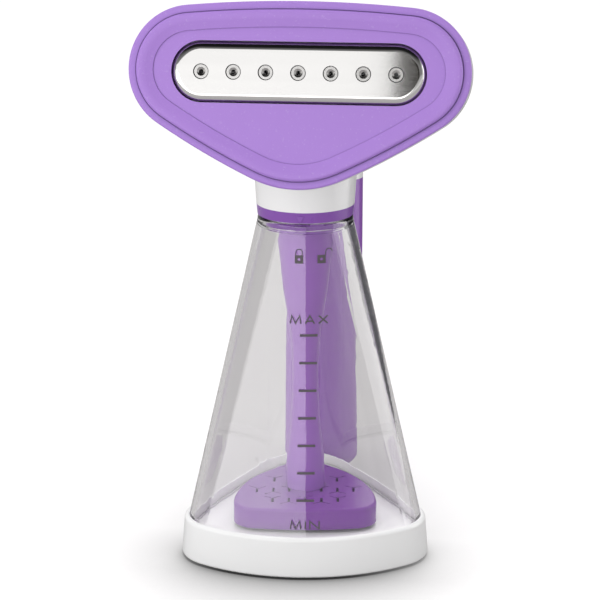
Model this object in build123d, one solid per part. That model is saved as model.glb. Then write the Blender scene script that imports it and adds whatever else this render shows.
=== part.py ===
from build123d import *

import math
import os

# Hand-held garment steamer: a steam head on a neck, a twist-off clear tank that it stands on, and a handle behind.
# Millimetres and degrees. The origin is on the table under the middle of the tank's mouth, +Z is up, and the steam
# head faces -Y. Outlines that aren't round are belts: arcs that run smoothly round three discs. A belt grows or
# shrinks by the radius of its arcs alone, so walls, rims and fits all come from the same few discs.

# Clearances
FIT = 0.2
RUN = 0.3
PIN_RUN = 0.05

# Base and tank
PAD_THICK = 1.6
PAD_INSET = 5.0
BASE_GAP = 0.8
BASE_HEIGHT = 20.0
BASE_WALL = 2.2
BASE_FLARE = 1.6
BASE_FLOOR = 2.5
BASE_PLATE = 2.0
SKIRT = 6.0
SKIRT_SEAL = 1.2
TANK_WALL = 2.4
TANK_CORNER = (37.0, -22.0, 18.5)
TANK_REAR = (0.0, 36.5, 24.0)
TANK_FRONT_BULGE = 85.0
TANK_SIDE_BULGE = 400.0
CONE_HEIGHT = 139.8
CONE_TOP_RADIUS = 22.8
MOUTH_RADIUS = 19.0
LIP_RADIUS = 22.6
LIP_HEIGHT = 2.8
TANK_TURN = 6.0
UNLOCK_TURN = 21.0

# Bayonet
LUGS = 3
LUG_WIDTH = 14.0
LUG_HEIGHT = 2.0
LUG_REACH = 1.8
LUG_FIRST = 30.0
LUG_LIFT = 1.5
NOTCH_ROOM = 2.0

# Neck
SPIGOT_WALL = 2.6
SPIGOT_FLOOR = 3.0
SPIGOT_FLANGE = 1.6
SPIGOT_FLANGE_THICK = 2.6
RING_RADIUS = 23.1
RING_TAPER = 0.5
RING_HEIGHT = 5.0
RING_ARROW = 0.4
ARROW_WIDTH = 3.7
ARROW_HEIGHT = 3.2
SEAL_THICK = 1.7
SEAL_WIDTH = 2.2
COLLAR_FLARE = 3.6
LEDGE = 1.6

# Pickup stem and boiler foot
STEM_TENON = 11.0
STEM_SHOULDER = 13.3
STEM_FOOT = 9.2
STEM_FLANK = (
    (0.91, 12.6), (0.83, 11.5), (0.75, 10.4), (0.60, 7.3), (0.48, 6.3), (0.33, 6.6), (0.19, 7.8), (0.12, 8.8),
)
STEM_BORE = 4.5
FOOT_TENON = 7.0
FOOT_GAP = 1.8
FOOT_HEIGHT = 10.2
FOOT_WALL = 2.0
FOOT_EDGE = 1.4
FOOT_CORNER = (23.0, -20.0, 11.0)
FOOT_REAR = (0.0, 17.0, 15.0)
FOOT_FRONT_BULGE = 144.0
FOOT_SIDE_BULGE = 60.0
PAN_THICK = 2.0
SLOT_WIDTH = 1.2
SLOT_LENGTH = 5.2
SLOT_PITCH = 7.8
SLOT_ROW_PITCH = 13.2
SLOT_FRONT_ROW = -20.0
SLOT_ROWS = (2, 3, 3, 2)
GROOVE_WIDTH = 0.45
GROOVE_LENGTH = 4.6
GROOVE_DEPTH = 0.5
GROOVE_ANGLE = 30.0
ELEMENT_RADIUS = 2.0
ELEMENT_LOOP = 20.5
ELEMENT_MIDDLE = -5.0
ELEMENT_GAP_ANGLE = 50.0
THERMOSTAT_RADIUS = 5.5
THERMOSTAT_HEIGHT = 4.6
FUSE_RADIUS = 1.8
FUSE_LENGTH = 10.0
PIPE_RADIUS = 2.4
PIPE_WALL = 0.7
WIRE_RADIUS = 0.8

# Steam head
HEAD_TILT = 10.0
FACE_Y = -30.0
FACE_RISE = 65.8
HEAD_END = (48.2, 0.8, 28.8)
HEAD_CHIN = (0.0, -4.1, 48.0)
HEAD_CROWN = 557.0
HEAD_CHEEK = 350.0
FLANGE_THICK = 4.0
FLANGE_WIDTH = 3.3
FLANGE_EDGE = 1.1
TONGUE = 2.5
GROOVE = 0.5
RIDGE_HEIGHT = 2.4
RIDGE_TOP = 3.0
RIDGE_SLOPE = 4.6
RIDGE_EDGE = 1.5
RIDGE_ROUND = 8.0
BASIN_LEVEL = 0.5
BASIN_STEP = 0.5
FACE_WALL = 2.2
POCKET_LENGTH = 114.6
POCKET_HEIGHT = 27.7
PLATE_PROUD = 1.1
PLATE_EDGE = 3.6
PLATE_DEPTH = 4.6
SHEET = 1.0
NOZZLES = 7
NOZZLE_PITCH = 14.56
NOZZLE_RADIUS = 3.1
NOZZLE_GAP = 0.4
NOZZLE_SUNK = 0.7
NOZZLE_HOLE = 1.0
NOZZLE_DISH = 2.0
NOZZLE_TAIL = 2.0
GASKET_THICK = 1.6
GASKET_WIDTH = 4.0
CHAMBER_DEPTH = 10.4
CHAMBER_WALL = 2.2
EAR_THICK = 2.0
EAR_LENGTH = 104.0
EAR_HEIGHT = 44.0
EAR_CORNER = 6.0
EAR_SCREW = (46.0, 17.6)

# Housing
SHELL_WALL = 2.3
RIM_SETBACK = 0.5
PAN_DEPTH = 17.0
PAN_DRAFT = 1.0
WAIST_SHARE = 0.5
WAIST_Y = 5.0
WAIST_RISE = 60.8
BRIDGE_RISE = 53.8
BRIDGE_START = 24.0
BRIDGE_LEAD = 8.0
BRIDGE_BEND = 34.0

# Handle
HANDLE_Y = 79.5
HANDLE_DROP = 59.0
HANDLE_BOTTOM = 8.0
HANDLE_SIDE = (9.7, 1.5, 11.0)
HANDLE_FRONT = (0.0, -3.0, 10.5)
HANDLE_BULGE = 60.0
HANDLE_WALL = 2.2
HANDLE_END = 7.0
TENON_LENGTH = 14.0
TENON_ROOT = 5.0
TENON_WALL = 1.8

# Switch, lamp, gland and terminals
SEAT_DEPTH = 0.8
SWITCH_DROP = 19.0
SWITCH_WIDTH = 13.0
SWITCH_HEIGHT = 21.0
SWITCH_LIP = 1.6
SWITCH_LIP_PROUD = 1.0
SWITCH_WALL = 1.2
SWITCH_DEPTH = 12.0
PIVOT_DEPTH = 1.0
ROCKER_CREST = 1.4
ROCKER_DEPTH = 5.0
ROCKER_ANGLE = 7.0
ROCKER_PIN = 1.2
ROCKER_PIN_LENGTH = 1.0
LAMP_DROP = 10.0
LENS_RADIUS = 3.4
LENS_WALL = 0.9
LENS_PROUD = 1.2
LENS_SLEEVE = 7.0
LAMP_RADIUS = 2.2
GLAND_RISE = 20.0
GLAND_BORE = 3.4
GLAND_BODY = 5.4
GLAND_FLANGE = 7.2
GLAND_FLANGE_THICK = 2.4
GLAND_LENGTH = 14.0
BLOCK_RISE = 30.0
BLOCK_SIZE = (15.0, 6.0, 17.0)
BLOCK_PEDESTAL = 10.0

# Screws
SCREW_RADIUS = 1.4
SCREW_HEAD = 2.7
SCREW_HEAD_THICK = 1.9
SCREW_LENGTH = 14.0
CROSS_WIDTH = 0.7
CROSS_DEPTH = 0.9
BOSS_WALL = 1.8
HIGH_SCREW_DROP = 30.0
LOW_SCREW_RISE = 15.0
HOUSING_SCREW_RISES = ((50.0, 6.4), (74.0, -6.5))
SCREW_SEAT = 7.0

# Places worked out from the sizes above
FLOOR_TOP = BASE_HEIGHT - SKIRT
CONE_TOP = BASE_HEIGHT + CONE_HEIGHT
MOUTH_UNDER = CONE_TOP - TANK_WALL
MOUTH_TOP = CONE_TOP + LIP_HEIGHT
SEAL_MIDDLE = (MOUTH_RADIUS + LIP_RADIUS) / 2
SPIGOT_RADIUS = MOUTH_RADIUS - 2 * FIT
LUG_BOTTOM = MOUTH_UNDER + LUG_LIFT
LUG_TOP = LUG_BOTTOM + LUG_HEIGHT
RING_BOTTOM = MOUTH_TOP + 2 * RUN
RING_TOP = RING_BOTTOM + RING_HEIGHT
FLANGE_SEAT = RING_TOP + LEDGE
FLANGE_TOP = FLANGE_SEAT + SPIGOT_FLANGE_THICK
FACE_Z = RING_TOP + FACE_RISE
WAIST_Z = RING_TOP + WAIST_RISE
BRIDGE_Z = RING_TOP + BRIDGE_RISE
COLLAR_TOP = BRIDGE_Z
HOUSING_SCREWS = [(y, BRIDGE_Z + rise) for y, rise in HOUSING_SCREW_RISES]
HANDLE_TOP = BRIDGE_Z - HANDLE_DROP
LAMP_Z = HANDLE_TOP - LAMP_DROP
SWITCH_Z = LAMP_Z - SWITCH_DROP
GLAND_Z = HANDLE_BOTTOM + GLAND_RISE
BLOCK_Z = GLAND_Z + BLOCK_RISE
HANDLE_SCREWS = (SWITCH_Z - HIGH_SCREW_DROP, GLAND_Z + LOW_SCREW_RISE)
FOOT_BOTTOM = FLOOR_TOP + FOOT_GAP
FOOT_TOP = FOOT_BOTTOM + FOOT_HEIGHT
FOOT_INSIDE = FOOT_TOP - FOOT_WALL
PAN_TOP = FOOT_BOTTOM + PAN_THICK
BASIN_BACK = BASIN_LEVEL - FACE_WALL
PLATE_LENGTH = POCKET_LENGTH - 2 * FIT
PLATE_HEIGHT = POCKET_HEIGHT - 2 * FIT
PLATE_FRONT = BASIN_LEVEL + PLATE_PROUD
PLATE_BACK = PLATE_FRONT - PLATE_DEPTH
CHAMBER_FRONT = PLATE_BACK - GASKET_THICK
CHAMBER_BACK = CHAMBER_FRONT - CHAMBER_DEPTH
CHAMBER_MIDDLE = (CHAMBER_FRONT + CHAMBER_BACK) / 2
BOSS_RADIUS = SCREW_RADIUS + BOSS_WALL
FAR = 400.0


def belt(discs, radii):
    """Arcs (x, y, radius, start, end) of an outline round three discs, anticlockwise.

    radii holds the radius of the arc that runs from each disc to the next."""
    links = []
    for (x1, y1, r1), (x2, y2, r2), radius in zip(discs, discs[1:] + discs[:1], radii):
        span = math.hypot(x2 - x1, y2 - y1)
        ux, uy = (x2 - x1) / span, (y2 - y1) / span
        along = ((radius - r1) ** 2 - (radius - r2) ** 2 + span**2) / (2 * span)
        aside = math.sqrt((radius - r1) ** 2 - along**2)
        x, y = x1 + along * ux - aside * uy, y1 + along * uy + aside * ux
        start = math.degrees(math.atan2(y1 - y, x1 - x))
        end = math.degrees(math.atan2(y2 - y, x2 - x))
        links.append((x, y, radius, start, end))
    arcs = []
    for (x, y, r), before, link in zip(discs, links[-1:] + links[:-1], links):
        arcs += [(x, y, r, before[4], link[3]), link]
    return [(x, y, r, a, a + (b - a) % 360) for x, y, r, a, b in arcs]


def pair(side):
    """A disc on the right and its mirror image on the left."""
    x, y, r = side
    return [(x, y, r), (-x, y, r)]


TANK = belt([TANK_REAR] + pair(TANK_CORNER)[::-1], [TANK_SIDE_BULGE, TANK_FRONT_BULGE, TANK_SIDE_BULGE])
TANK_NECK = [(0, 0, CONE_TOP_RADIUS, start, end) for _, _, _, start, end in TANK]
FOOT = belt([FOOT_REAR] + pair(FOOT_CORNER)[::-1], [FOOT_SIDE_BULGE, FOOT_FRONT_BULGE, FOOT_SIDE_BULGE])
HEAD_DISCS = [HEAD_CHIN] + pair(HEAD_END)
HEAD_RADII = [HEAD_CHEEK, HEAD_CROWN, HEAD_CHEEK]
HEAD = belt(HEAD_DISCS, HEAD_RADII)
GRIP_DISCS = [HANDLE_FRONT] + pair(HANDLE_SIDE)
GRIP_RADII = [HANDLE_BULGE] * 3
GRIP = belt(GRIP_DISCS, GRIP_RADII)
HANDLE_BACK = HANDLE_Y + GRIP[3][1] + GRIP[3][2]
SEAT = HANDLE_BACK - SEAT_DEPTH
PIVOT = HANDLE_BACK - PIVOT_DEPTH


def outline(arcs, grow=0.0):
    """The flat face inside a belt, on the XY plane."""
    edges = []
    for x, y, r, start, end in arcs:
        angles = [math.radians(a) for a in (start, (start + end) / 2, end)]
        points = [(x + (r + grow) * math.cos(a), y + (r + grow) * math.sin(a)) for a in angles]
        edges.append(ThreePointArc(*points))
    return Face(Wire(edges))


def upright(arcs, low, high, grow=0.0):
    """A straight-sided solid on a belt between two heights."""
    return extrude(Pos(0, 0, low) * outline(arcs, grow), high - low)


def drafted(low, low_face, high, high_face):
    """A solid that runs straight from one outline to another above it."""
    return loft([Pos(0, 0, low) * low_face, Pos(0, 0, high) * high_face], ruled=True)


def disc(radius, low, high, x=0.0, y=0.0):
    """An upright cylinder between two heights."""
    return Pos(x, y, (low + high) / 2) * Cylinder(radius, high - low)


def ring(outer, inner, low, high):
    """An upright tube between two heights."""
    return disc(outer, low, high) - disc(inner, low, high)


def block(x, y, z):
    """A box between two limits on each axis."""
    (x1, x2), (y1, y2), (z1, z2) = x, y, z
    return Pos((x1 + x2) / 2, (y1 + y2) / 2, (z1 + z2) / 2) * Box(x2 - x1, y2 - y1, z2 - z1)


def edges_at(solid, level):
    """Edges of a solid built flat that lie wholly at one level."""
    return solid.edges().filter_by_position(Axis.Z, level - 0.001, level + 0.001)


def stadium(length, height, low, high):
    """A round-ended bar, flat on the XY plane, between two levels."""
    return extrude(Pos(0, 0, low) * SlotOverall(length, height), high - low)


def sector(radius, angle, width, low, high):
    """A wedge of a disc about the Z axis, centred on an angle."""
    half = math.radians(width / 2)
    x, y = 2 * radius * math.cos(half), 2 * radius * math.sin(half)
    wedge = make_face(Polyline((0, 0), (x, -y), (x, y), close=True))
    return disc(radius, low, high) & (Rot(0, 0, angle) * extrude(Pos(0, 0, low) * wedge, high - low))


def face_plane(level):
    """The plane parallel to the steam face, this far in front of its flange."""
    tilt = math.radians(HEAD_TILT)
    normal = Vector(0, -math.cos(tilt), math.sin(tilt))
    return Plane(Vector(0, FACE_Y, FACE_Z) + normal * level, x_dir=(1, 0, 0), z_dir=normal)


def on_face(shape):
    """A shape built flat, set on the steam face."""
    return face_plane(0).location * shape


def out_back(shape, z):
    """A shape built flat, set at a height so that its Z points out of the back of the handle from the handle's middle."""
    return Plane((0, HANDLE_Y, z), x_dir=(-1, 0, 0), z_dir=(0, 1, 0)).location * shape


def screw(length):
    """A cross-head screw along Z, with the underside of its head at the origin and its shank below."""
    body = disc(SCREW_RADIUS, -length, 0) + disc(SCREW_HEAD, 0, SCREW_HEAD_THICK)
    bar = Box(1.3 * SCREW_HEAD, CROSS_WIDTH, 2 * CROSS_DEPTH)
    return body - Pos(0, 0, SCREW_HEAD_THICK) * (bar + Rot(0, 0, 90) * bar)


def tube(points, radius, bend, bore=0.0):
    """A round bar or pipe along straight runs joined by bends of one radius."""
    path = FilletPolyline(*points, radius=bend)
    section = Circle(radius) - Circle(bore) if bore else Circle(radius)
    return sweep(Plane(path @ 0, z_dir=path % 0) * section, path)


def turned(shape):
    """A shape of the tank or foot, turned to where the tank stands when it is locked."""
    return Rot(0, 0, TANK_TURN) * shape


# The tank and its base


def base_pad():
    """Rubber pad that the steamer stands on."""
    return turned(upright(TANK, 0, PAD_THICK, -PAD_INSET))


def base_plate():
    """Plate that closes the underside of the base."""
    return turned(upright(TANK, PAD_THICK, PAD_THICK + BASE_PLATE, -FIT))


def tank_base():
    """White cup that the tank's skirt is bonded into, with the tank's floor above an open underside."""
    wide = outline(TANK, BASE_WALL + BASE_FLARE)
    cup = drafted(BASE_GAP, wide, BASE_HEIGHT, outline(TANK, BASE_WALL))
    cup = fillet(edges_at(cup, BASE_HEIGHT), 0.8 * BASE_WALL)
    cup = fillet(edges_at(cup, BASE_GAP), BASE_WALL / 2)
    cup -= upright(TANK, FLOOR_TOP, BASE_HEIGHT + 1, FIT / 2)
    return turned(cup - upright(TANK, 0, FLOOR_TOP - BASE_FLOOR))


def skirt_seal():
    """Silicone seal under the skirt of the tank."""
    low, high = FLOOR_TOP, FLOOR_TOP + SKIRT_SEAL
    return turned(upright(TANK, low, high) - upright(TANK, low, high, -TANK_WALL))


def tank_shell():
    """Clear cone with an open foot and a round mouth, notched and grooved inside the mouth for the bayonet lugs."""
    bottom = FLOOR_TOP + SKIRT_SEAL
    outer = upright(TANK, bottom, BASE_HEIGHT)
    outer += drafted(BASE_HEIGHT, outline(TANK), CONE_TOP, outline(TANK_NECK))
    lip = disc(LIP_RADIUS, CONE_TOP - TANK_WALL, MOUTH_TOP)
    outer += fillet(edges_at(lip, MOUTH_TOP), LIP_HEIGHT / 2)
    inner = upright(TANK, bottom, BASE_HEIGHT, -TANK_WALL)
    inner += drafted(BASE_HEIGHT, outline(TANK, -TANK_WALL), MOUTH_UNDER, outline(TANK_NECK, -TANK_WALL))
    shell = outer - inner - disc(MOUTH_RADIUS, bottom, MOUTH_TOP)
    reach, groove = SPIGOT_RADIUS + LUG_REACH + RUN, LUG_BOTTOM - RUN
    shell -= disc(reach, groove, LUG_TOP + RUN)
    for lug in range(LUGS):
        angle = LUG_FIRST + lug * 360 / LUGS + UNLOCK_TURN - TANK_TURN
        shell -= sector(reach, angle, LUG_WIDTH + 2 * NOTCH_ROOM, groove, MOUTH_TOP + 1)
    return turned(shell)


# The neck


def spigot():
    """Plug in the tank's mouth: bayonet lugs on its side, a seat for the stem and a flange that the housing holds."""
    body = disc(SPIGOT_RADIUS, MOUTH_UNDER, FLANGE_TOP) + disc(SPIGOT_RADIUS + SPIGOT_FLANGE, FLANGE_SEAT, FLANGE_TOP)
    for lug in range(LUGS):
        angle = LUG_FIRST + lug * 360 / LUGS
        body += sector(SPIGOT_RADIUS + LUG_REACH, angle, LUG_WIDTH, LUG_BOTTOM, LUG_TOP)
    body -= disc(SPIGOT_RADIUS - SPIGOT_WALL, MOUTH_UNDER + SPIGOT_FLOOR, FLANGE_TOP)
    return body - disc(STEM_TENON + FIT / 2, MOUTH_UNDER, MOUTH_UNDER + SPIGOT_FLOOR)


def lock_ring():
    """Purple ring between the tank and the collar, with a raised arrow that the lock marks point to."""
    middle = (RING_BOTTOM + RING_TOP) / 2
    body = Pos(0, 0, middle) * Cone(RING_RADIUS - RING_TAPER, RING_RADIUS, RING_HEIGHT)
    half = ARROW_WIDTH / 2
    arrow = make_face(Polyline((-half, ARROW_HEIGHT), (0, 0), (half, ARROW_HEIGHT), close=True))
    stamp = extrude(Plane((0, 0, RING_BOTTOM + FIT), x_dir=(1, 0, 0), z_dir=(0, -1, 0)) * arrow, FAR)
    body += stamp & disc(RING_RADIUS - RING_TAPER / 2 + RING_ARROW, RING_BOTTOM, RING_TOP)
    body -= disc(SPIGOT_RADIUS + FIT / 2, RING_BOTTOM, RING_TOP)
    half = SEAL_WIDTH / 2 + FIT / 2
    return body - ring(SEAL_MIDDLE + half, SEAL_MIDDLE - half, RING_BOTTOM, RING_BOTTOM + SEAL_THICK - RUN)


def mouth_seal():
    """Silicone seal in the underside of the lock ring, over the rim of the tank."""
    half = SEAL_WIDTH / 2
    return ring(SEAL_MIDDLE + half, SEAL_MIDDLE - half, RING_BOTTOM - RUN, RING_BOTTOM + SEAL_THICK - RUN)


# The pickup stem and the boiler foot


def pickup_stem():
    """Purple stem, wide at the neck and slim in the middle, bored for the steam pipe and the leads."""
    length = MOUTH_UNDER - FOOT_TOP
    flank = [(STEM_SHOULDER, MOUTH_UNDER)]
    flank += [(radius, FOOT_TOP + share * length) for share, radius in STEM_FLANK]
    flank.append((STEM_FOOT, FOOT_TOP))
    top = MOUTH_UNDER + SPIGOT_FLOOR
    neck = Polyline((STEM_BORE, top), (STEM_TENON, top), (STEM_TENON, MOUTH_UNDER), flank[0])
    tenon = [(FOOT_TENON, FOOT_TOP), (FOOT_TENON, FOOT_INSIDE), (STEM_BORE, FOOT_INSIDE)]
    foot = Polyline(flank[-1], *tenon, (STEM_BORE, top))
    return revolve(make_face(Plane.XZ * (neck + Spline(*flank) + foot)), Axis.Z)


def slot_places():
    """Places of the slots on the foot's top, each as (x, y, side of the slot that its grooves run from)."""
    for row, reach in enumerate(SLOT_ROWS):
        for column in range(-reach, reach + 1):
            yield column * SLOT_PITCH, SLOT_FRONT_ROW + row * SLOT_ROW_PITCH, 1 if (row + column) % 2 == 0 else -1


def foot_cover():
    """Perforated purple cover of the boiler foot."""
    cover = upright(FOOT, FOOT_BOTTOM, FOOT_TOP)
    cover = fillet(edges_at(cover, FOOT_TOP), FOOT_EDGE)
    cover -= upright(FOOT, FOOT_BOTTOM, FOOT_INSIDE, -FOOT_WALL)
    cover -= disc(FOOT_TENON + FIT / 2, FOOT_INSIDE, FOOT_TOP)
    rim = outline(FOOT, -FOOT_WALL - SLOT_WIDTH)
    slot = extrude(Pos(0, 0, FOOT_INSIDE) * Rot(0, 0, 90) * SlotOverall(SLOT_LENGTH, SLOT_WIDTH), FOOT_WALL)
    groove = Pos(GROOVE_LENGTH / 2, 0, FOOT_TOP) * Box(GROOVE_LENGTH, GROOVE_WIDTH, 2 * GROOVE_DEPTH)
    cuts = []
    for x, y, side in slot_places():
        ends = [(x, y + end * SLOT_LENGTH / 2) for end in (-1, 1)]
        if all(rim.is_inside((*end, 0)) and math.hypot(*end) > FOOT_TENON + 0.9 * FOOT_WALL for end in ends):
            cuts.append(Pos(x, y, 0) * slot)
            for angle in (GROOVE_ANGLE, 180 - GROOVE_ANGLE):
                cuts.append(Pos(x, y + side * SLOT_LENGTH / 2, 0) * Rot(0, 0, side * angle) * groove)
    return turned(cover - cuts)


def foot_pan():
    """Pan that closes the foot, and that the heating element lies on."""
    return turned(upright(FOOT, FOOT_BOTTOM, PAN_TOP, -FOOT_WALL - FIT / 2))


def heating_element():
    """Sheathed element bent to an open loop in the foot."""
    level = PAN_TOP + RUN + ELEMENT_RADIUS
    loop = CenterArc((0, 0), ELEMENT_LOOP, 90 + ELEMENT_GAP_ANGLE / 2, 360 - ELEMENT_GAP_ANGLE)
    path = Pos(0, ELEMENT_MIDDLE, level) * loop
    return turned(sweep(Plane(path @ 0, z_dir=path % 0) * Circle(ELEMENT_RADIUS), path))


def thermostat():
    """Disc thermostat on the pan, in front of the stem."""
    place = -FOOT_TENON - THERMOSTAT_RADIUS - 4 * RUN
    cap = disc(THERMOSTAT_RADIUS, PAN_TOP, PAN_TOP + THERMOSTAT_HEIGHT / 2, 0, place)
    return turned(cap + disc(0.7 * THERMOSTAT_RADIUS, PAN_TOP, PAN_TOP + THERMOSTAT_HEIGHT, 0, place))


def thermal_fuse():
    """Thermal fuse on the pan, behind the stem."""
    place = FOOT_TENON + FUSE_RADIUS + 4 * RUN
    body = Cylinder(FUSE_RADIUS, FUSE_LENGTH) + Cylinder(FUSE_RADIUS / 3, 1.5 * FUSE_LENGTH)
    return turned(Pos(0, place, PAN_TOP + FUSE_RADIUS) * Rot(0, 90, 0) * body)


def steam_pipe():
    """Pipe from the foot up the stem to the inlet under the steam chamber."""
    inlet = face_plane(CHAMBER_MIDDLE).location
    end = (inlet * Pos(0, -PLATE_HEIGHT / 2, 0)).position
    below = (inlet * Pos(0, -PLATE_HEIGHT / 2 - 6 * PIPE_RADIUS, 0)).position
    x = PIPE_RADIUS + FIT - STEM_BORE
    knee = (x, 0, below.Z - 7 * PIPE_RADIUS)
    return tube([(x, 0, FOOT_INSIDE), knee, below, end], PIPE_RADIUS, 4 * PIPE_RADIUS, PIPE_RADIUS - PIPE_WALL)


def lead_wires():
    """Two leads from the heater up the stem, over the bridge and down the handle to the terminals."""
    x = STEM_BORE - 2 * WIRE_RADIUS - FIT
    over = BRIDGE_Z - 5 * WIRE_RADIUS
    back = HANDLE_Y - 3 * WIRE_RADIUS
    cut = 2 * BRIDGE_BEND / 3
    wires = []
    for side in (-1, 1):
        y = side * (WIRE_RADIUS + FIT)
        beside = BOSS_RADIUS + 3 * WIRE_RADIUS + y
        points = [
            (x, y, FOOT_INSIDE),
            (x, y, over),
            (beside, HANDLE_Y - cut, over),
            (beside, back, BRIDGE_Z - cut),
            (beside, back, BLOCK_Z + BLOCK_SIZE[2] / 2),
        ]
        wires.append(tube(points, WIRE_RADIUS, 9 * WIRE_RADIUS))
    return Compound(wires)


# The steam head


def ear_screw_places():
    """Places of the four chamber screws on the face."""
    x, y = EAR_SCREW
    return [(x, y), (-x, y), (-x, -y), (x, -y)]


def nozzle_places():
    """Places of the nozzles along the face."""
    return [(index - (NOZZLES - 1) / 2) * NOZZLE_PITCH for index in range(NOZZLES)]


def head_face():
    """Purple face: a flange, a ridge inside it, and a basin with the pocket for the steam plate."""
    face = upright(HEAD, -FLANGE_THICK, 0)
    face = fillet(edges_at(face, 0), FLANGE_EDGE)
    ridge_foot = FLANGE_WIDTH + GROOVE
    crest, sill = ridge_foot + RIDGE_TOP, BASIN_LEVEL + BASIN_STEP
    low, high = outline(HEAD, -crest - RIDGE_SLOPE), outline(HEAD, -crest)
    ridge = upright(HEAD, -GROOVE, RIDGE_HEIGHT, -ridge_foot)
    ridge = fillet(edges_at(ridge, RIDGE_HEIGHT), RIDGE_EDGE)
    ridge -= extrude(Pos(0, 0, BASIN_LEVEL) * low, BASIN_STEP) + drafted(sill, low, RIDGE_HEIGHT, high)
    top = ridge.faces().sort_by(Axis.Z)[-1]
    face += fillet(top.inner_wires()[0].edges(), RIDGE_ROUND)
    face -= upright(HEAD, -GROOVE, 0, -FLANGE_WIDTH) - upright(HEAD, -GROOVE, 0, -ridge_foot)
    tongue = SHELL_WALL + RIM_SETBACK + FIT
    face += upright(HEAD, -FLANGE_THICK - TONGUE, -FLANGE_THICK, -tongue)
    face -= upright(HEAD, -FLANGE_THICK - TONGUE, BASIN_BACK, -tongue - FACE_WALL)
    face -= stadium(POCKET_LENGTH, POCKET_HEIGHT, BASIN_BACK, BASIN_LEVEL)
    for x, y in ear_screw_places():
        face += disc(BOSS_RADIUS, CHAMBER_FRONT, BASIN_BACK, x, y)
        face -= disc(SCREW_RADIUS + PIN_RUN, CHAMBER_FRONT, BASIN_BACK, x, y)
    return on_face(face)


def steam_plate():
    """Pressed polished plate with rolled edges and a hole for each nozzle."""
    plate = stadium(PLATE_LENGTH, PLATE_HEIGHT, PLATE_BACK, PLATE_FRONT)
    plate = fillet(edges_at(plate, PLATE_FRONT), PLATE_EDGE)
    back = PLATE_FRONT - SHEET
    inside = stadium(PLATE_LENGTH - 2 * SHEET, PLATE_HEIGHT - 2 * SHEET, PLATE_BACK, back)
    plate -= fillet(edges_at(inside, back), PLATE_EDGE - SHEET)
    for x in nozzle_places():
        plate -= disc(NOZZLE_RADIUS + NOZZLE_GAP, back, PLATE_FRONT, x)
    return on_face(plate)


def steam_nozzles():
    """Eyelets that lead steam from the chamber through the plate, each with a dished front."""
    front = PLATE_FRONT - NOZZLE_SUNK
    back = CHAMBER_FRONT - CHAMBER_WALL
    eyelet = disc(NOZZLE_RADIUS, CHAMBER_FRONT, front) + disc(NOZZLE_TAIL, back, CHAMBER_FRONT)
    eyelet -= Pos(0, 0, front - NOZZLE_SUNK / 2) * Cone(NOZZLE_HOLE, NOZZLE_DISH, NOZZLE_SUNK)
    eyelet -= disc(NOZZLE_HOLE, back, front)
    return Compound([on_face(Pos(x, 0, 0) * eyelet) for x in nozzle_places()])


def plate_gasket():
    """Silicone gasket between the rim of the plate and the chamber."""
    gasket = stadium(PLATE_LENGTH, PLATE_HEIGHT, CHAMBER_FRONT, PLATE_BACK)
    shrink = 2 * GASKET_WIDTH
    return on_face(gasket - stadium(PLATE_LENGTH - shrink, PLATE_HEIGHT - shrink, CHAMBER_FRONT, PLATE_BACK))


def steam_chamber():
    """Closed box behind the plate that shares the steam out, with ears that screw to the face."""
    box = stadium(PLATE_LENGTH, PLATE_HEIGHT, CHAMBER_BACK, CHAMBER_FRONT)
    ears = Pos(0, 0, CHAMBER_FRONT - EAR_THICK) * RectangleRounded(EAR_LENGTH, EAR_HEIGHT, EAR_CORNER)
    box += extrude(ears, EAR_THICK)
    inside = PLATE_LENGTH - 2 * CHAMBER_WALL, PLATE_HEIGHT - 2 * CHAMBER_WALL
    box -= stadium(*inside, CHAMBER_BACK + CHAMBER_WALL, CHAMBER_FRONT - CHAMBER_WALL)
    for x in nozzle_places():
        box -= disc(NOZZLE_TAIL + PIN_RUN, CHAMBER_FRONT - CHAMBER_WALL, CHAMBER_FRONT, x)
    for x, y in ear_screw_places():
        box -= disc(SCREW_RADIUS + FIT, CHAMBER_FRONT - EAR_THICK, CHAMBER_FRONT, x, y)
    inlet = Rot(90, 0, 0) * Cylinder(PIPE_RADIUS - PIPE_WALL, 2 * CHAMBER_WALL)
    return on_face(box - Pos(0, -PLATE_HEIGHT / 2 + CHAMBER_WALL / 2, CHAMBER_MIDDLE) * inlet)


def chamber_screws():
    """Four screws through the chamber's ears into the face."""
    facing_back = Rot(180, 0, 0) * screw(EAR_THICK + BASIN_BACK - CHAMBER_FRONT)
    level = CHAMBER_FRONT - EAR_THICK
    return Compound([on_face(Pos(x, y, level) * facing_back) for x, y in ear_screw_places()])


# The housing


def housing_form(wall=0.0):
    """The housing's outside, or with a wall the hollow inside it."""
    share = WAIST_SHARE
    waist_discs = [
        tuple(a + (b - a) * share for a, b in zip(head, grip)) for head, grip in zip(HEAD_DISCS, GRIP_DISCS)
    ]
    waist_radii = [a + (b - a) * share for a, b in zip(HEAD_RADII, GRIP_RADII)]
    lean = math.radians(HEAD_TILT / 2)
    waist = Plane((0, WAIST_Y - wall, WAIST_Z), x_dir=(1, 0, 0), z_dir=(0, -math.cos(lean), math.sin(lean)))
    bridge = Plane((0, BRIDGE_START, BRIDGE_Z), x_dir=(1, 0, 0), z_dir=(0, -1, 0))
    lead = bridge.offset(-BRIDGE_LEAD)
    grip = outline(GRIP, -wall)
    sections = [
        face_plane(-FLANGE_THICK) * outline(HEAD, -RIM_SETBACK - wall),
        face_plane(wall - PAN_DEPTH) * outline(HEAD, -PAN_DRAFT - wall),
        waist * outline(belt(waist_discs, waist_radii), -wall),
        bridge * grip,
        lead * grip,
    ]
    corner = (0, HANDLE_Y, BRIDGE_Z)
    spine = FilletPolyline(lead.origin, corner, (0, HANDLE_Y, HANDLE_TOP), radius=BRIDGE_BEND)
    return loft(sections) + sweep(lead * grip, spine)


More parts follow.
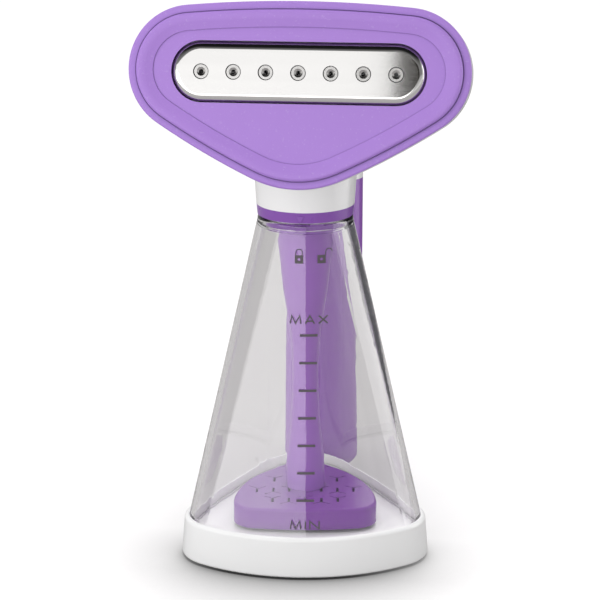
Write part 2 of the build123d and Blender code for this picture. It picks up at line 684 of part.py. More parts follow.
def housing():
    """White shell of the head's back, the collar and the bridge to the handle, before it is split in two."""
    hollow = housing_form(SHELL_WALL)
    middle = (RING_TOP + COLLAR_TOP) / 2
    collar = Pos(0, 0, middle) * Cone(RING_RADIUS, RING_RADIUS + COLLAR_FLARE, COLLAR_TOP - RING_TOP)
    shell = housing_form() + collar - hollow
    shell -= disc(SPIGOT_RADIUS + FIT / 2, RING_TOP, COLLAR_TOP)
    shell -= disc(SPIGOT_RADIUS + SPIGOT_FLANGE + FIT / 2, FLANGE_SEAT, FLANGE_TOP)
    shell -= disc(RING_RADIUS - SHELL_WALL, FLANGE_TOP + LEDGE, COLLAR_TOP)
    for y, z in HOUSING_SCREWS:
        across = Pos(0, y, z) * Rot(0, 90, 0)
        shell += across * Cylinder(BOSS_RADIUS, FAR) & hollow
        shell -= across * disc(SCREW_RADIUS + PIN_RUN, SCREW_SEAT - SCREW_LENGTH, SCREW_SEAT)
        shell -= across * disc(SCREW_HEAD + FIT, SCREW_SEAT, FAR)
    return shell


def housing_left():
    """Left half of the housing."""
    return housing() & block((-FAR, 0), (-FAR, FAR), (0, FAR))


def housing_right():
    """Right half of the housing, which the screw heads sit in."""
    return housing() & block((0, FAR), (-FAR, FAR), (0, FAR))


def housing_screws():
    """Screws across the housing that draw its halves together."""
    return Compound([Pos(SCREW_SEAT, y, z) * Rot(0, 90, 0) * screw(SCREW_LENGTH) for y, z in HOUSING_SCREWS])


# The handle


def handle_form(wall=0.0):
    """The handle's outside, or with a wall the hollow inside it."""
    low = HANDLE_BOTTOM + wall
    form = upright(GRIP, low, HANDLE_TOP, -wall)
    return Pos(0, HANDLE_Y, 0) * fillet(edges_at(form, low), HANDLE_END - wall)


def handle():
    """Purple handle, hollow, with a tenon that the housing closes on, before it is split in two."""
    hollow = handle_form(HANDLE_WALL)
    grip = handle_form() - hollow
    reach = SHELL_WALL + FIT
    tenon = upright(GRIP, HANDLE_TOP - TENON_ROOT, HANDLE_TOP + TENON_LENGTH, -reach)
    tenon += upright(GRIP, HANDLE_TOP - TENON_ROOT, HANDLE_TOP, -HANDLE_WALL / 2)
    tenon -= upright(GRIP, HANDLE_TOP - TENON_ROOT, HANDLE_TOP + TENON_LENGTH, -reach - TENON_WALL)
    grip += Pos(0, HANDLE_Y, 0) * tenon
    for z in HANDLE_SCREWS:
        grip += out_back(Cylinder(BOSS_RADIUS, FAR), z) & hollow
        grip -= out_back(disc(SCREW_RADIUS + PIN_RUN, SCREW_SEAT - SCREW_LENGTH, SCREW_SEAT), z)
        grip -= out_back(disc(SCREW_HEAD + FIT, SCREW_SEAT, FAR), z)
    return grip


def handle_front():
    """Front half of the handle, with a pedestal for the terminal block."""
    half = handle() & block((-FAR, FAR), (0, HANDLE_Y), (0, FAR))
    reach = BLOCK_PEDESTAL / 2
    pedestal = block((-reach, reach), (0, HANDLE_Y - BLOCK_SIZE[1]), (BLOCK_Z - reach, BLOCK_Z + reach))
    return half + (pedestal & handle_form(HANDLE_WALL / 2))


def handle_rear():
    """Rear half of the handle, cut for the switch, the pilot lens and the cord gland."""
    half = handle() & block((-FAR, FAR), (HANDLE_Y, FAR), (0, FAR))
    seat = SEAT - HANDLE_Y
    hole = Rectangle(SWITCH_WIDTH + FIT, SWITCH_HEIGHT + FIT)
    lip = Rectangle(SWITCH_WIDTH + 2 * SWITCH_LIP + FIT, SWITCH_HEIGHT + 2 * SWITCH_LIP + FIT)
    half -= out_back(extrude(hole, FAR), SWITCH_Z) + out_back(extrude(Pos(0, 0, seat) * lip, FAR), SWITCH_Z)
    half -= out_back(disc(LENS_RADIUS + FIT / 2, 0, FAR), LAMP_Z)
    return half - out_back(disc(GLAND_BODY + FIT / 2, 0, FAR) + disc(GLAND_FLANGE + FIT / 2, seat, FAR), GLAND_Z)


def handle_screws():
    """Screws through the back of the handle."""
    return Compound([out_back(Pos(0, 0, SCREW_SEAT) * screw(SCREW_LENGTH), z) for z in HANDLE_SCREWS])


# The switch, the pilot lamp and the wiring


def switch_well():
    """Half width and half height of the well that the rocker sits in."""
    return SWITCH_WIDTH / 2 - SWITCH_WALL, SWITCH_HEIGHT / 2 - SWITCH_WALL


def switch_body():
    """Black switch body with a lip on the handle, a well for the rocker and holes for the rocker's pins."""
    seat, pivot = SEAT - HANDLE_Y, PIVOT - HANDLE_Y
    half_width, half_height = switch_well()
    front = seat + SEAT_DEPTH + SWITCH_LIP_PROUD
    lip = Rectangle(SWITCH_WIDTH + 2 * SWITCH_LIP, SWITCH_HEIGHT + 2 * SWITCH_LIP)
    body = extrude(Pos(0, 0, seat) * lip, front - seat)
    body = fillet(edges_at(body, front), SWITCH_LIP_PROUD / 2)
    body += extrude(Pos(0, 0, seat - SWITCH_DEPTH) * Rectangle(SWITCH_WIDTH, SWITCH_HEIGHT), SWITCH_DEPTH)
    floor = pivot - ROCKER_DEPTH - half_height * math.sin(math.radians(ROCKER_ANGLE)) - RUN
    body -= extrude(Pos(0, 0, floor) * Rectangle(2 * half_width, 2 * half_height), FAR)
    pins = Pos(0, 0, pivot) * Rot(0, 90, 0) * Cylinder(ROCKER_PIN + PIN_RUN, 2 * (half_width + ROCKER_PIN_LENGTH))
    return out_back(body - pins, SWITCH_Z)


def switch_rocker():
    """Rocker on two stub pins, tipped to the off position."""
    half_width, half_height = switch_well()
    half_width, half_height = half_width - RUN, half_height - 2 * RUN
    crest = ROCKER_CREST + half_height * math.tan(math.radians(ROCKER_ANGLE))
    narrow = half_height - ROCKER_DEPTH / 4
    corners = [(-narrow, -ROCKER_DEPTH), (narrow, -ROCKER_DEPTH), (half_height, crest)]
    profile = Polyline(*corners, (0, ROCKER_CREST), (-half_height, crest), close=True)
    side = Plane((-half_width, 0, 0), x_dir=(0, 1, 0), z_dir=(1, 0, 0)) * make_face(profile)
    rocker = extrude(side, 2 * half_width)
    rocker += Rot(0, 90, 0) * Cylinder(ROCKER_PIN, 2 * (half_width + ROCKER_PIN_LENGTH))
    return out_back(Pos(0, 0, PIVOT - HANDLE_Y) * Rot(ROCKER_ANGLE, 0, 0) * rocker, SWITCH_Z)


def pilot_lens():
    """Clear red lens with a domed front and a sleeve that holds the lamp."""
    face = HANDLE_BACK - HANDLE_Y
    lens = disc(LENS_RADIUS, face - LENS_SLEEVE, face + LENS_PROUD)
    lens = fillet(edges_at(lens, face + LENS_PROUD), LENS_PROUD)
    return out_back(lens - disc(LENS_RADIUS - LENS_WALL, face - LENS_SLEEVE, face - LENS_WALL), LAMP_Z)


def pilot_lamp():
    """Small lamp in the sleeve of the lens."""
    front = HANDLE_BACK - HANDLE_Y - LENS_WALL
    lamp = disc(LAMP_RADIUS, front - LENS_SLEEVE, front)
    return out_back(fillet(edges_at(lamp, front), LAMP_RADIUS / 2), LAMP_Z)


def cord_gland():
    """Bush in the lower back of the handle that the power cord comes in through."""
    front = SEAT - HANDLE_Y + GLAND_FLANGE_THICK
    body = disc(GLAND_FLANGE, front - GLAND_FLANGE_THICK, front)
    body = fillet(edges_at(body, front), GLAND_FLANGE_THICK / 3)
    body += disc(GLAND_BODY, front - GLAND_LENGTH, front - GLAND_FLANGE_THICK)
    return out_back(body - disc(GLAND_BORE, front - GLAND_LENGTH, front), GLAND_Z)


def terminal_block():
    """Terminal block on its pedestal in the handle."""
    width, depth, height = BLOCK_SIZE
    body = block((-width / 2, width / 2), (HANDLE_Y - depth, HANDLE_Y), (BLOCK_Z - height / 2, BLOCK_Z + height / 2))
    for x in (-width / 4, width / 4):
        body -= out_back(disc(SCREW_RADIUS, -SCREW_RADIUS, 0), BLOCK_Z).moved(Location((x, 0, 0)))
    return body


PIECES = (
    base_pad, base_plate, tank_base, skirt_seal, tank_shell,
    spigot, lock_ring, mouth_seal,
    pickup_stem, foot_cover, foot_pan, heating_element, thermostat, thermal_fuse, steam_pipe, lead_wires,
    head_face, steam_plate, steam_nozzles, plate_gasket, steam_chamber, chamber_screws,
    housing_left, housing_right, housing_screws,
    handle_front, handle_rear, handle_screws,
    switch_body, switch_rocker, pilot_lens, pilot_lamp, cord_gland, terminal_block,
)

os.makedirs("parts", exist_ok=True)
for piece in PIECES:
    export_step(piece(), f"parts/{piece.__name__}.step")
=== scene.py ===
import logging
import math
from dataclasses import dataclass
from enum import Enum
from typing import Any

import bmesh
import bpy
from mathutils import Matrix, Vector
from mathutils.bvhtree import BVHTree


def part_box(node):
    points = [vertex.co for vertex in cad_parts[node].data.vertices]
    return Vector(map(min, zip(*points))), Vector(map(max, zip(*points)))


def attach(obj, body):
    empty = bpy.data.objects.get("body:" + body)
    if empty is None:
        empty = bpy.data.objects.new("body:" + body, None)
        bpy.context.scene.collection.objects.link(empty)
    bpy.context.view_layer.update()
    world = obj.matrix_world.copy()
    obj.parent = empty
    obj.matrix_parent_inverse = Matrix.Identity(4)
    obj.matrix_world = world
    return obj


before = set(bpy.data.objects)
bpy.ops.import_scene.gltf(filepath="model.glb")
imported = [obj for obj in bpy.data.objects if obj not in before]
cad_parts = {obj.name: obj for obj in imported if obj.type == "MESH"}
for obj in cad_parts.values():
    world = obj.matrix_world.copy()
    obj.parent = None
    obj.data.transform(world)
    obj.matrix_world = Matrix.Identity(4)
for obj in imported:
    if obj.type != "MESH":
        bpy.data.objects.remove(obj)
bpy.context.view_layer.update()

# Looks of a hand-held garment steamer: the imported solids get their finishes, the clear tank gets its printed level
# marks and the rocker its on and off marks. Metres and degrees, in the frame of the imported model: +Z is up and the
# steam head faces -Y.

LOG = logging.getLogger("steamer")
MM = 0.001
AO_SAMPLES = 32
MIDDLE_NOISE = (0.3, 0.7)
UNIT = (0.0, 1.0)

Colour = tuple[float, float, float]
Path = tuple[tuple[float, float], ...]


class Body(Enum):
    """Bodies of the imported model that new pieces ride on."""

    TANK = "tank"
    ROCKER = "rocker"


class Slot(Enum):
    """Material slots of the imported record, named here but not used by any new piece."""

    BLACK = "black"
    WHITE = "white"


class Graph:
    """Node tree of a material or of the world, with short calls for the nodes that they share."""

    def __init__(self, holder: bpy.types.Material | bpy.types.World) -> None:
        """Empty the holder's node tree.

        Args:
            holder: A new material or world.
        """
        holder.use_nodes = True
        self.holder = holder
        self.tree = holder.node_tree
        self.tree.nodes.clear()
        self.coordinates = self.node("ShaderNodeTexCoord").outputs
        self.place = self.coordinates["Object"]

    @classmethod
    def of_material(cls, name: str) -> "Graph":
        """The empty graph of a new material."""
        return cls(bpy.data.materials.new(name))

    def node(self, kind: str, inputs: dict[str | int, Any] | None = None, **settings: Any) -> bpy.types.Node:
        """Add a node, set its options, and set or link its inputs.

        Args:
            kind: Blender's name of the node type.
            inputs: Values, or sockets to link, by the input's name or number.
            settings: Options of the node itself.

        Returns:
            The new node.
        """
        node = self.tree.nodes.new(kind)
        for name, value in settings.items():
            setattr(node, name, value)
        for name, value in (inputs or {}).items():
            self.feed(node.inputs[name], value)
        return node

    def feed(self, socket: bpy.types.NodeSocket, value: Any) -> None:
        """Link a socket into an input, or set the input to a plain value.

        Args:
            socket: The input.
            value: An output socket, a number or a tuple.
        """
        if isinstance(value, bpy.types.NodeSocket):
            self.tree.links.new(value, socket)
        else:
            socket.default_value = value

    def noise(self, pitch: float, detail: float = 2.0, stretch: Colour = (1.0, 1.0, 1.0)) -> bpy.types.NodeSocket:
        """Noise on the piece's own coordinates.

        Args:
            pitch: Rough size of its features.
            detail: Octaves of finer noise.
            stretch: How much longer the features are along each axis.

        Returns:
            The noise value, about 0.5 on average.
        """
        place = self.node(
            "ShaderNodeMapping", {"Vector": self.place, "Scale": tuple(1.0 / part for part in stretch)}
        ).outputs["Vector"]
        inputs = {"Vector": place, "Scale": 1.0 / pitch, "Detail": detail}
        return self.node("ShaderNodeTexNoise", inputs).outputs["Fac"]

    def span(self, value: bpy.types.NodeSocket, source: tuple[float, float], target: tuple[float, float]) -> Any:
        """Stretch a value from one range to another, held at the ends.

        Args:
            value: The value.
            source: Range that it comes from.
            target: Range that it goes to.

        Returns:
            The stretched value.
        """
        ends = {"From Min": source[0], "From Max": source[1], "To Min": target[0], "To Max": target[1]}
        return self.node("ShaderNodeMapRange", {"Value": value, **ends}).outputs["Result"]

    def blend(self, share: bpy.types.NodeSocket, low: Any, high: Any) -> bpy.types.NodeSocket:
        """Mix two colours.

        Args:
            share: Share of the second colour.
            low: First colour.
            high: Second colour.

        Returns:
            The mixed colour.
        """
        mix = self.node("ShaderNodeMix", data_type="RGBA")
        for socket, value in zip((mix.inputs[0], mix.inputs[6], mix.inputs[7]), (share, low, high)):
            self.feed(socket, (*value, 1.0) if isinstance(value, tuple) else value)
        return mix.outputs[2]

    def bump(self, height: bpy.types.NodeSocket, depth: float) -> bpy.types.NodeSocket:
        """Raise and sink the surface.

        Args:
            height: Height from 0 to 1.
            depth: Height that 1 stands for.

        Returns:
            The bumped normal.
        """
        return self.node("ShaderNodeBump", {"Height": height, "Distance": depth, "Strength": 1.0}).outputs["Normal"]

    def open_air(self, reach: float) -> bpy.types.NodeSocket:
        """How open the surface is to its surroundings, within a reach."""
        return self.node("ShaderNodeAmbientOcclusion", {"Distance": reach}, samples=AO_SAMPLES).outputs["AO"]

    def sum_of(self, parts: list[tuple[bpy.types.NodeSocket, float]], start: float) -> bpy.types.NodeSocket:
        """Add up values, each times a share.

        Args:
            parts: Values and their shares.
            start: Number that they are added to.

        Returns:
            The sum.
        """
        total: Any = start
        for value, share in parts:
            total = self.node(
                "ShaderNodeMath", {0: value, 1: share, 2: total}, operation="MULTIPLY_ADD"
            ).outputs[0]
        return total

    def surface(self, inputs: dict[str, Any]) -> None:
        """Add the Principled shader and make it the surface.

        Args:
            inputs: Values or sockets by the input's name.
        """
        shader = self.node("ShaderNodeBsdfPrincipled", inputs)
        self.node("ShaderNodeOutputMaterial", {"Surface": shader.outputs["BSDF"]})


def shaded(colour: Colour, factor: float) -> Colour:
    """A colour made lighter or darker.

    Args:
        colour: The colour.
        factor: How many times lighter.

    Returns:
        The new colour.
    """
    return tuple(min(1.0, part * factor) for part in colour)


@dataclass(frozen=True)
class MouldedPlastic:
    """Moulded plastic: uneven pigment, a fine mould grain, pale specks where it is matte, and painted shade that
    darkens its creases.
    """

    name: str
    colour: Colour
    roughness: float
    mottle: float = 0.015
    grain: float = 0.5 * MM
    grain_depth: float = 0.004 * MM
    specks: float = 0.0
    # Share, reach, range and darkness of the painted shade in creases.
    painted_crease_shade: float = 0.0
    speck_colour: Colour = (0.9, 0.86, 0.95)
    painted_shade_reach: float = 2.4 * MM
    painted_shade_range: tuple[float, float] = (0.4, 0.92)
    painted_shade_darkness: float = 0.4

    def material(self) -> bpy.types.Material:
        """Build the material."""
        graph = Graph.of_material(self.name)
        cloud = graph.span(graph.noise(26 * MM, 3.0), MIDDLE_NOISE, UNIT)
        colour = graph.blend(cloud, shaded(self.colour, 1 - self.mottle), shaded(self.colour, 1 + self.mottle))
        if self.specks:
            speck = graph.span(graph.noise(1.1 * MM, 1.0), (0.66, 0.72), (0.0, self.specks))
            colour = graph.blend(speck, colour, self.speck_colour)
        # Painted shade: where the surface is closed in within a short reach, in creases, grooves and slots, the
        # colour is darkened toward a darker copy of itself.
        if self.painted_crease_shade:
            shade = graph.span(graph.open_air(self.painted_shade_reach), self.painted_shade_range, (self.painted_crease_shade, 0.0))
            colour = graph.blend(shade, colour, shaded(self.colour, self.painted_shade_darkness))
        wear = graph.noise(3 * MM, 4.0)
        rough = graph.span(wear, MIDDLE_NOISE, (self.roughness * 0.97, self.roughness * 1.04))
        normal = graph.bump(graph.noise(self.grain, 2.0), self.grain_depth)
        graph.surface({"Base Color": colour, "Roughness": rough, "Normal": normal, "IOR": 1.5})
        return graph.holder


@dataclass(frozen=True)
class ClearPlastic:
    """Clear moulded plastic: refracting, with a faint ripple of the mould. Lamps and soft light shine through."""

    name: str
    colour: Colour
    roughness: float = 0.0
    ripple: float = 0.0

    def material(self) -> bpy.types.Material:
        """Build the material."""
        graph = Graph.of_material(self.name)
        haze = graph.span(graph.noise(9 * MM, 3.0), (0.3, 0.75), (self.roughness, self.roughness + 0.02))
        inputs = {"Base Color": (*self.colour, 1.0), "Roughness": haze, "IOR": 1.52, "Transmission Weight": 1.0}
        if self.ripple:
            inputs["Normal"] = graph.bump(graph.noise(14 * MM, 1.0, (1.0, 1.0, 3.0)), self.ripple)
        shader = graph.node("ShaderNodeBsdfPrincipled", inputs)
        side = tuple(math.sqrt(part) for part in self.colour)
        through = graph.node("ShaderNodeBsdfTransparent", {"Color": (*side, 1.0)})
        path = graph.node("ShaderNodeLightPath").outputs
        soft = graph.node(
            "ShaderNodeMath", {0: path["Is Shadow Ray"], 1: path["Is Diffuse Ray"]}, operation="MAXIMUM"
        ).outputs[0]
        mix = graph.node("ShaderNodeMixShader", {0: soft, 1: shader.outputs["BSDF"], 2: through.outputs["BSDF"]})
        graph.node("ShaderNodeOutputMaterial", {"Surface": mix.outputs["Shader"]})
        return graph.holder


@dataclass(frozen=True)
class Metal:
    """Bare metal: polishing lines along X, or an even cast or drawn grain."""

    name: str
    colour: Colour
    roughness: float
    lines: float = 1.0
    grain: float = 0.4 * MM
    grain_depth: float = 0.001 * MM

    def material(self) -> bpy.types.Material:
        """Build the material."""
        graph = Graph.of_material(self.name)
        stretch = (self.lines, 1.0, 1.0)
        cloud = graph.span(graph.noise(12 * MM, 3.0, stretch), MIDDLE_NOISE, UNIT)
        colour = graph.blend(cloud, shaded(self.colour, 0.96), shaded(self.colour, 1.03))
        grain = graph.noise(self.grain, 3.0, stretch)
        rough = graph.span(grain, MIDDLE_NOISE, (self.roughness * 0.8, self.roughness * 1.25))
        normal = graph.bump(grain, self.grain_depth)
        graph.surface({"Base Color": colour, "Roughness": rough, "Normal": normal, "Metallic": 1.0})
        return graph.holder


@dataclass(frozen=True)
class Rubber:
    """Soft moulded rubber or silicone with a dusty, uneven sheen."""

    name: str
    colour: Colour
    roughness: float = 0.6
    glow: float = 0.0

    def material(self) -> bpy.types.Material:
        """Build the material."""
        graph = Graph.of_material(self.name)
        dust = graph.span(graph.noise(7 * MM, 5.0), (0.35, 0.75), (0.0, 0.12))
        colour = graph.blend(dust, self.colour, (0.6, 0.6, 0.6))
        rough = graph.span(graph.noise(1.5 * MM, 3.0), MIDDLE_NOISE, (self.roughness - 0.08, self.roughness + 0.1))
        normal = graph.bump(graph.noise(0.35 * MM, 2.0), 0.006 * MM)
        inputs = {"Base Color": colour, "Roughness": rough, "Normal": normal, "Subsurface Weight": self.glow}
        inputs["Subsurface Radius"] = (1.5 * MM, 1.5 * MM, 1.5 * MM)
        inputs["Subsurface Scale"] = 1.0
        graph.surface(inputs)
        return graph.holder


@dataclass(frozen=True)
class Ink:
    """Pad-printed ink, a little thin in places."""

    name: str
    colour: Colour
    thin: Colour

    def material(self) -> bpy.types.Material:
        """Build the material."""
        graph = Graph.of_material(self.name)
        worn = graph.span(graph.noise(0.6 * MM, 3.0), (0.45, 0.8), (0.0, 0.5))
        colour = graph.blend(worn, self.colour, self.thin)
        rough = graph.span(graph.noise(0.3 * MM, 2.0), MIDDLE_NOISE, (0.42, 0.6))
        graph.surface({"Base Color": colour, "Roughness": rough})
        return graph.holder


# The last number of face_purple, 0.6, is the share of painted shade in its creases and grooves.
FACE_PURPLE = MouldedPlastic("face_purple", (0.40, 0.218, 0.665), 0.5, 0.012, 0.7 * MM, 0.008 * MM, 0.08, 0.6)
PURPLE = MouldedPlastic("purple", (0.285, 0.100, 0.468), 0.25, 0.012, 0.5 * MM, 0.002 * MM)
# Painted shade: the foot is the stem's purple made darker, standing in for the dimmer light on it. Its last number,
# 0.7, is painted shade in its slots.
FOOT_PURPLE_PAINTED_SHADE = MouldedPlastic("foot_purple_painted_shade", (0.20, 0.05, 0.34), 0.22, 0.012, 0.5 * MM, 0.002 * MM, 0.0, 0.7)
RING_PURPLE = MouldedPlastic("ring_purple", (0.23, 0.078, 0.40), 0.28, 0.012, 0.5 * MM, 0.002 * MM)
WHITE = MouldedPlastic("white", (0.88, 0.88, 0.88), 0.22, 0.01, 0.6 * MM, 0.002 * MM)
BLACK = MouldedPlastic("black", (0.02, 0.02, 0.022), 0.42, 0.08, 0.35 * MM, 0.008 * MM)
NATURAL = MouldedPlastic("natural", (0.72, 0.69, 0.62), 0.45, 0.03, 0.5 * MM, 0.004 * MM)
CLEAR = ClearPlastic("clear", (0.96, 0.955, 0.957), 0.0, 0.01 * MM)
LENS = ClearPlastic("lens", (0.8, 0.06, 0.04), 0.08)
STEEL = Metal("steel", (0.70, 0.69, 0.68), 0.07, 18.0, 0.25 * MM, 0.0004 * MM)
NOZZLE_STEEL = Metal("nozzle_steel", (0.52, 0.51, 0.50), 0.22)
GREY_METAL = Metal("grey_metal", (0.50, 0.50, 0.51), 0.3)
ALUMINIUM = Metal("aluminium", (0.66, 0.66, 0.68), 0.42, 1.0, 0.6 * MM, 0.01 * MM)
SILICONE = Rubber("silicone", (0.68, 0.68, 0.68), 0.5, 0.25)
BLACK_RUBBER = Rubber("black_rubber", (0.03, 0.03, 0.03))
LEAD = Rubber("lead", (0.42, 0.07, 0.05), 0.45)
GREY_INK = Ink("grey_ink", (0.085, 0.07, 0.085), (0.15, 0.135, 0.15))
WHITE_INK = Ink("white_ink", (0.8, 0.8, 0.8), (0.55, 0.55, 0.55))

# Plain capitals: width in heights, and the lines of each, across in heights and up from 0 to 1.
CAPITALS: dict[str, tuple[float, tuple[Path, ...]]] = {
    "M": (1.14, (((0.0, 0.0), (0.14, 1.0), (0.57, 0.05), (1.0, 1.0), (1.14, 0.0)),)),
    "A": (0.96, (((0.0, 0.0), (0.48, 1.0), (0.96, 0.0)), ((0.2, 0.32), (0.76, 0.32)))),
    "X": (0.96, (((0.0, 0.0), (0.96, 1.0)), ((0.0, 1.0), (0.44, 0.54)), ((0.52, 0.46), (0.96, 0.0)))),
    "I": (0.0, (((0.0, 0.0), (0.0, 1.0)),)),
    "N": (1.0, (((0.0, 0.0), (0.0, 1.0), (1.0, 0.0), (1.0, 1.0)),)),
}


class Wardrobe:
    """Makes each finish's material once."""

    def __init__(self) -> None:
        """Start with no materials made."""
        self.made: dict[str, bpy.types.Material] = {}

    def material(self, finish: Any) -> bpy.types.Material:
        """The material of a finish.

        Args:
            finish: A finish with a name and a material method.

        Returns:
            Its material.
        """
        if finish.name not in self.made:
            self.made[finish.name] = finish.material()
        return self.made[finish.name]

    def dress(self, nodes: dict[str, Any]) -> None:
        """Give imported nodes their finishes.

        Args:
            nodes: Finishes by the node's name.
        """
        for name, finish in nodes.items():
            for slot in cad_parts[name].material_slots:
                slot.material = self.material(finish)
            LOG.info("%s: %s", name, finish.name)


class Sketch:
    """Flat shapes on X and Z, drawn with bmesh, that are laid on a surface as print."""

    MERGE = 0.001 * MM
    STEP = 0.8 * MM
    RUN_UP = 0.3
    SOLID_SHARE = 0.8
    HOOP_STEPS = 24
    HOLE_STEPS = 16

    def __init__(self) -> None:
        """Start an empty sketch."""
        self.mesh = bmesh.new()

    def add(self, shape: bmesh.types.BMesh, x: float, z: float) -> None:
        """Turn a flat shape upright, facing -Y, and put it in its place.

        Args:
            shape: The shape, flat on X and Y. It is used up.
            x: Where its origin goes along X.
            z: Where its origin goes along Z.
        """
        upright = Matrix.Rotation(math.radians(90), 3, "X")
        bmesh.ops.rotate(shape, cent=(0, 0, 0), matrix=upright, verts=shape.verts)
        bmesh.ops.translate(shape, vec=(x, 0, z), verts=shape.verts)
        data = bpy.data.meshes.new("shape")
        shape.to_mesh(data)
        shape.free()
        self.mesh.from_mesh(data)
        bpy.data.meshes.remove(data)

    def bar(self, length: float, height: float, x: float, z: float) -> None:
        """Add a bar.

        Args:
            length: Its length along X.
            height: Its height along Z.
            x: Its middle along X.
            z: Its middle along Z.
        """
        shape = bmesh.new()
        bmesh.ops.create_grid(shape, x_segments=1, y_segments=1, size=0.5)
        bmesh.ops.scale(shape, vec=(length, height, 1), verts=shape.verts)
        self.add(shape, x, z)

    def hoop(self, radius: float, stroke: float, x: float, z: float, turn: float = 360.0) -> None:
        """Add a ring, or an arch that is open below.

        Args:
            radius: Its outer radius.
            stroke: Width of its line.
            x: Its middle along X.
            z: Its middle along Z.
            turn: Angle that it covers, from +X.
        """
        shape = bmesh.new()
        ends = [shape.verts.new((reach, 0, 0)) for reach in (radius - stroke, radius)]
        bmesh.ops.spin(
            shape, geom=[*ends, shape.edges.new(ends)], cent=(0, 0, 0), axis=(0, 0, 1), dvec=(0, 0, 0),
            angle=math.radians(turn), steps=self.HOOP_STEPS, use_merge=turn >= 360, use_duplicate=False,
        )
        self.add(shape, x, z)

    def plate(self, width: float, height: float, hole: float, x: float, z: float) -> None:
        """Add a square-cornered plate with a round hole.

        Args:
            width: Its width along X.
            height: Its height along Z.
            hole: Radius of the hole.
            x: Its middle along X.
            z: Its middle along Z.
        """
        shape = bmesh.new()
        bmesh.ops.create_circle(shape, cap_ends=False, radius=hole, segments=self.HOLE_STEPS)
        grown = bmesh.ops.extrude_edge_only(shape, edges=shape.edges[:])["geom"]
        for vert in (part for part in grown if isinstance(part, bmesh.types.BMVert)):
            reach = max(abs(vert.co.x), abs(vert.co.y))
            vert.co = Vector((vert.co.x / reach * width / 2, vert.co.y / reach * height / 2, 0))
        self.add(shape, x, z)

    def line(self, points: Path, stroke: float, x: float, z: float) -> None:
        """Add a line of even width, with its corners mitred as far as its own width.

        Args:
            points: The points it goes through.
            stroke: Width of the line.
            x: Where the points' origin goes along X.
            z: Where the points' origin goes along Z.
        """
        path = [Vector(point) for point in points]
        ways = [(end - start).normalized() for start, end in zip(path, path[1:])]
        shape, rails = bmesh.new(), []
        for point, before, after in zip(path, [ways[0], *ways], [*ways, ways[-1]]):
            side = before.orthogonal() + after.orthogonal()
            side *= min(stroke / side.length, stroke) / side.length
            rails.append([shape.verts.new((*(point + side * hand), 0.0)) for hand in (1, -1)])
        for (left, right), (next_left, next_right) in zip(rails, rails[1:]):
            shape.faces.new((right, next_right, next_left, left))
        self.add(shape, x, z)

    def word(self, text: str, height: float, stroke: float, width: float, x: float, z: float) -> None:
        """Add a word in plain capitals, centred.

        Args:
            text: The word.
            height: Height of its capitals.
            stroke: Width of their lines.
            width: Its whole width.
            x: Its middle along X.
            z: Its middle along Z.
        """
        letters = [CAPITALS[letter] for letter in text]
        gap = (width - stroke - sum(reach for reach, _ in letters) * height) / (len(letters) - 1)
        start = x - (width - stroke) / 2
        for reach, paths in letters:
            for path in paths:
                points = tuple((across * height, (up - 0.5) * (height - stroke)) for across, up in path)
                self.line(points, stroke, start, z)
            start += reach * height + gap

    def wrap(self, name: str, onto: bpy.types.Object, toward: Vector, turn: Matrix, thick: float) -> bpy.types.Object:
        """Lay the sketch on a surface and give it thickness.

        Args:
            name: Name of the new piece.
            onto: Object whose surface it lies on.
            toward: Direction in which it is pressed on, in the sketch's own frame.
            turn: Turn from the sketch's frame to the model's.
            thick: How far the print stands proud.

        Returns:
            The new piece.
        """
        mesh, step = self.mesh, self.STEP
        bmesh.ops.remove_doubles(mesh, verts=mesh.verts, dist=self.MERGE)
        low, high = min(v.co.x for v in mesh.verts), max(v.co.x for v in mesh.verts)
        for index in range(math.floor(low / step) + 1, math.ceil(high / step)):
            geom = [*mesh.verts, *mesh.edges, *mesh.faces]
            bmesh.ops.bisect_plane(mesh, geom=geom, plane_co=(index * step, 0, 0), plane_no=(1, 0, 0))
        skin = onto.data
        tree = BVHTree.FromPolygons([v.co for v in skin.vertices], [p.vertices for p in skin.polygons])
        heading = turn @ toward
        for vert in mesh.verts:
            start = turn @ vert.co - heading * self.RUN_UP
            hit, normal, _, _ = tree.ray_cast(start, heading)
            vert.co = hit + normal * thick
        bmesh.ops.recalc_face_normals(mesh, faces=mesh.faces)
        for face in mesh.faces:
            if face.normal.dot(heading) > 0:
                face.normal_flip()
        data = bpy.data.meshes.new(name)
        mesh.to_mesh(data)
        mesh.free()
        piece = bpy.data.objects.new(name, data)
        bpy.context.scene.collection.objects.link(piece)
        solid = piece.modifiers.new("print", "SOLIDIFY")
        solid.thickness, solid.offset = self.SOLID_SHARE * thick, -1.0
        return piece


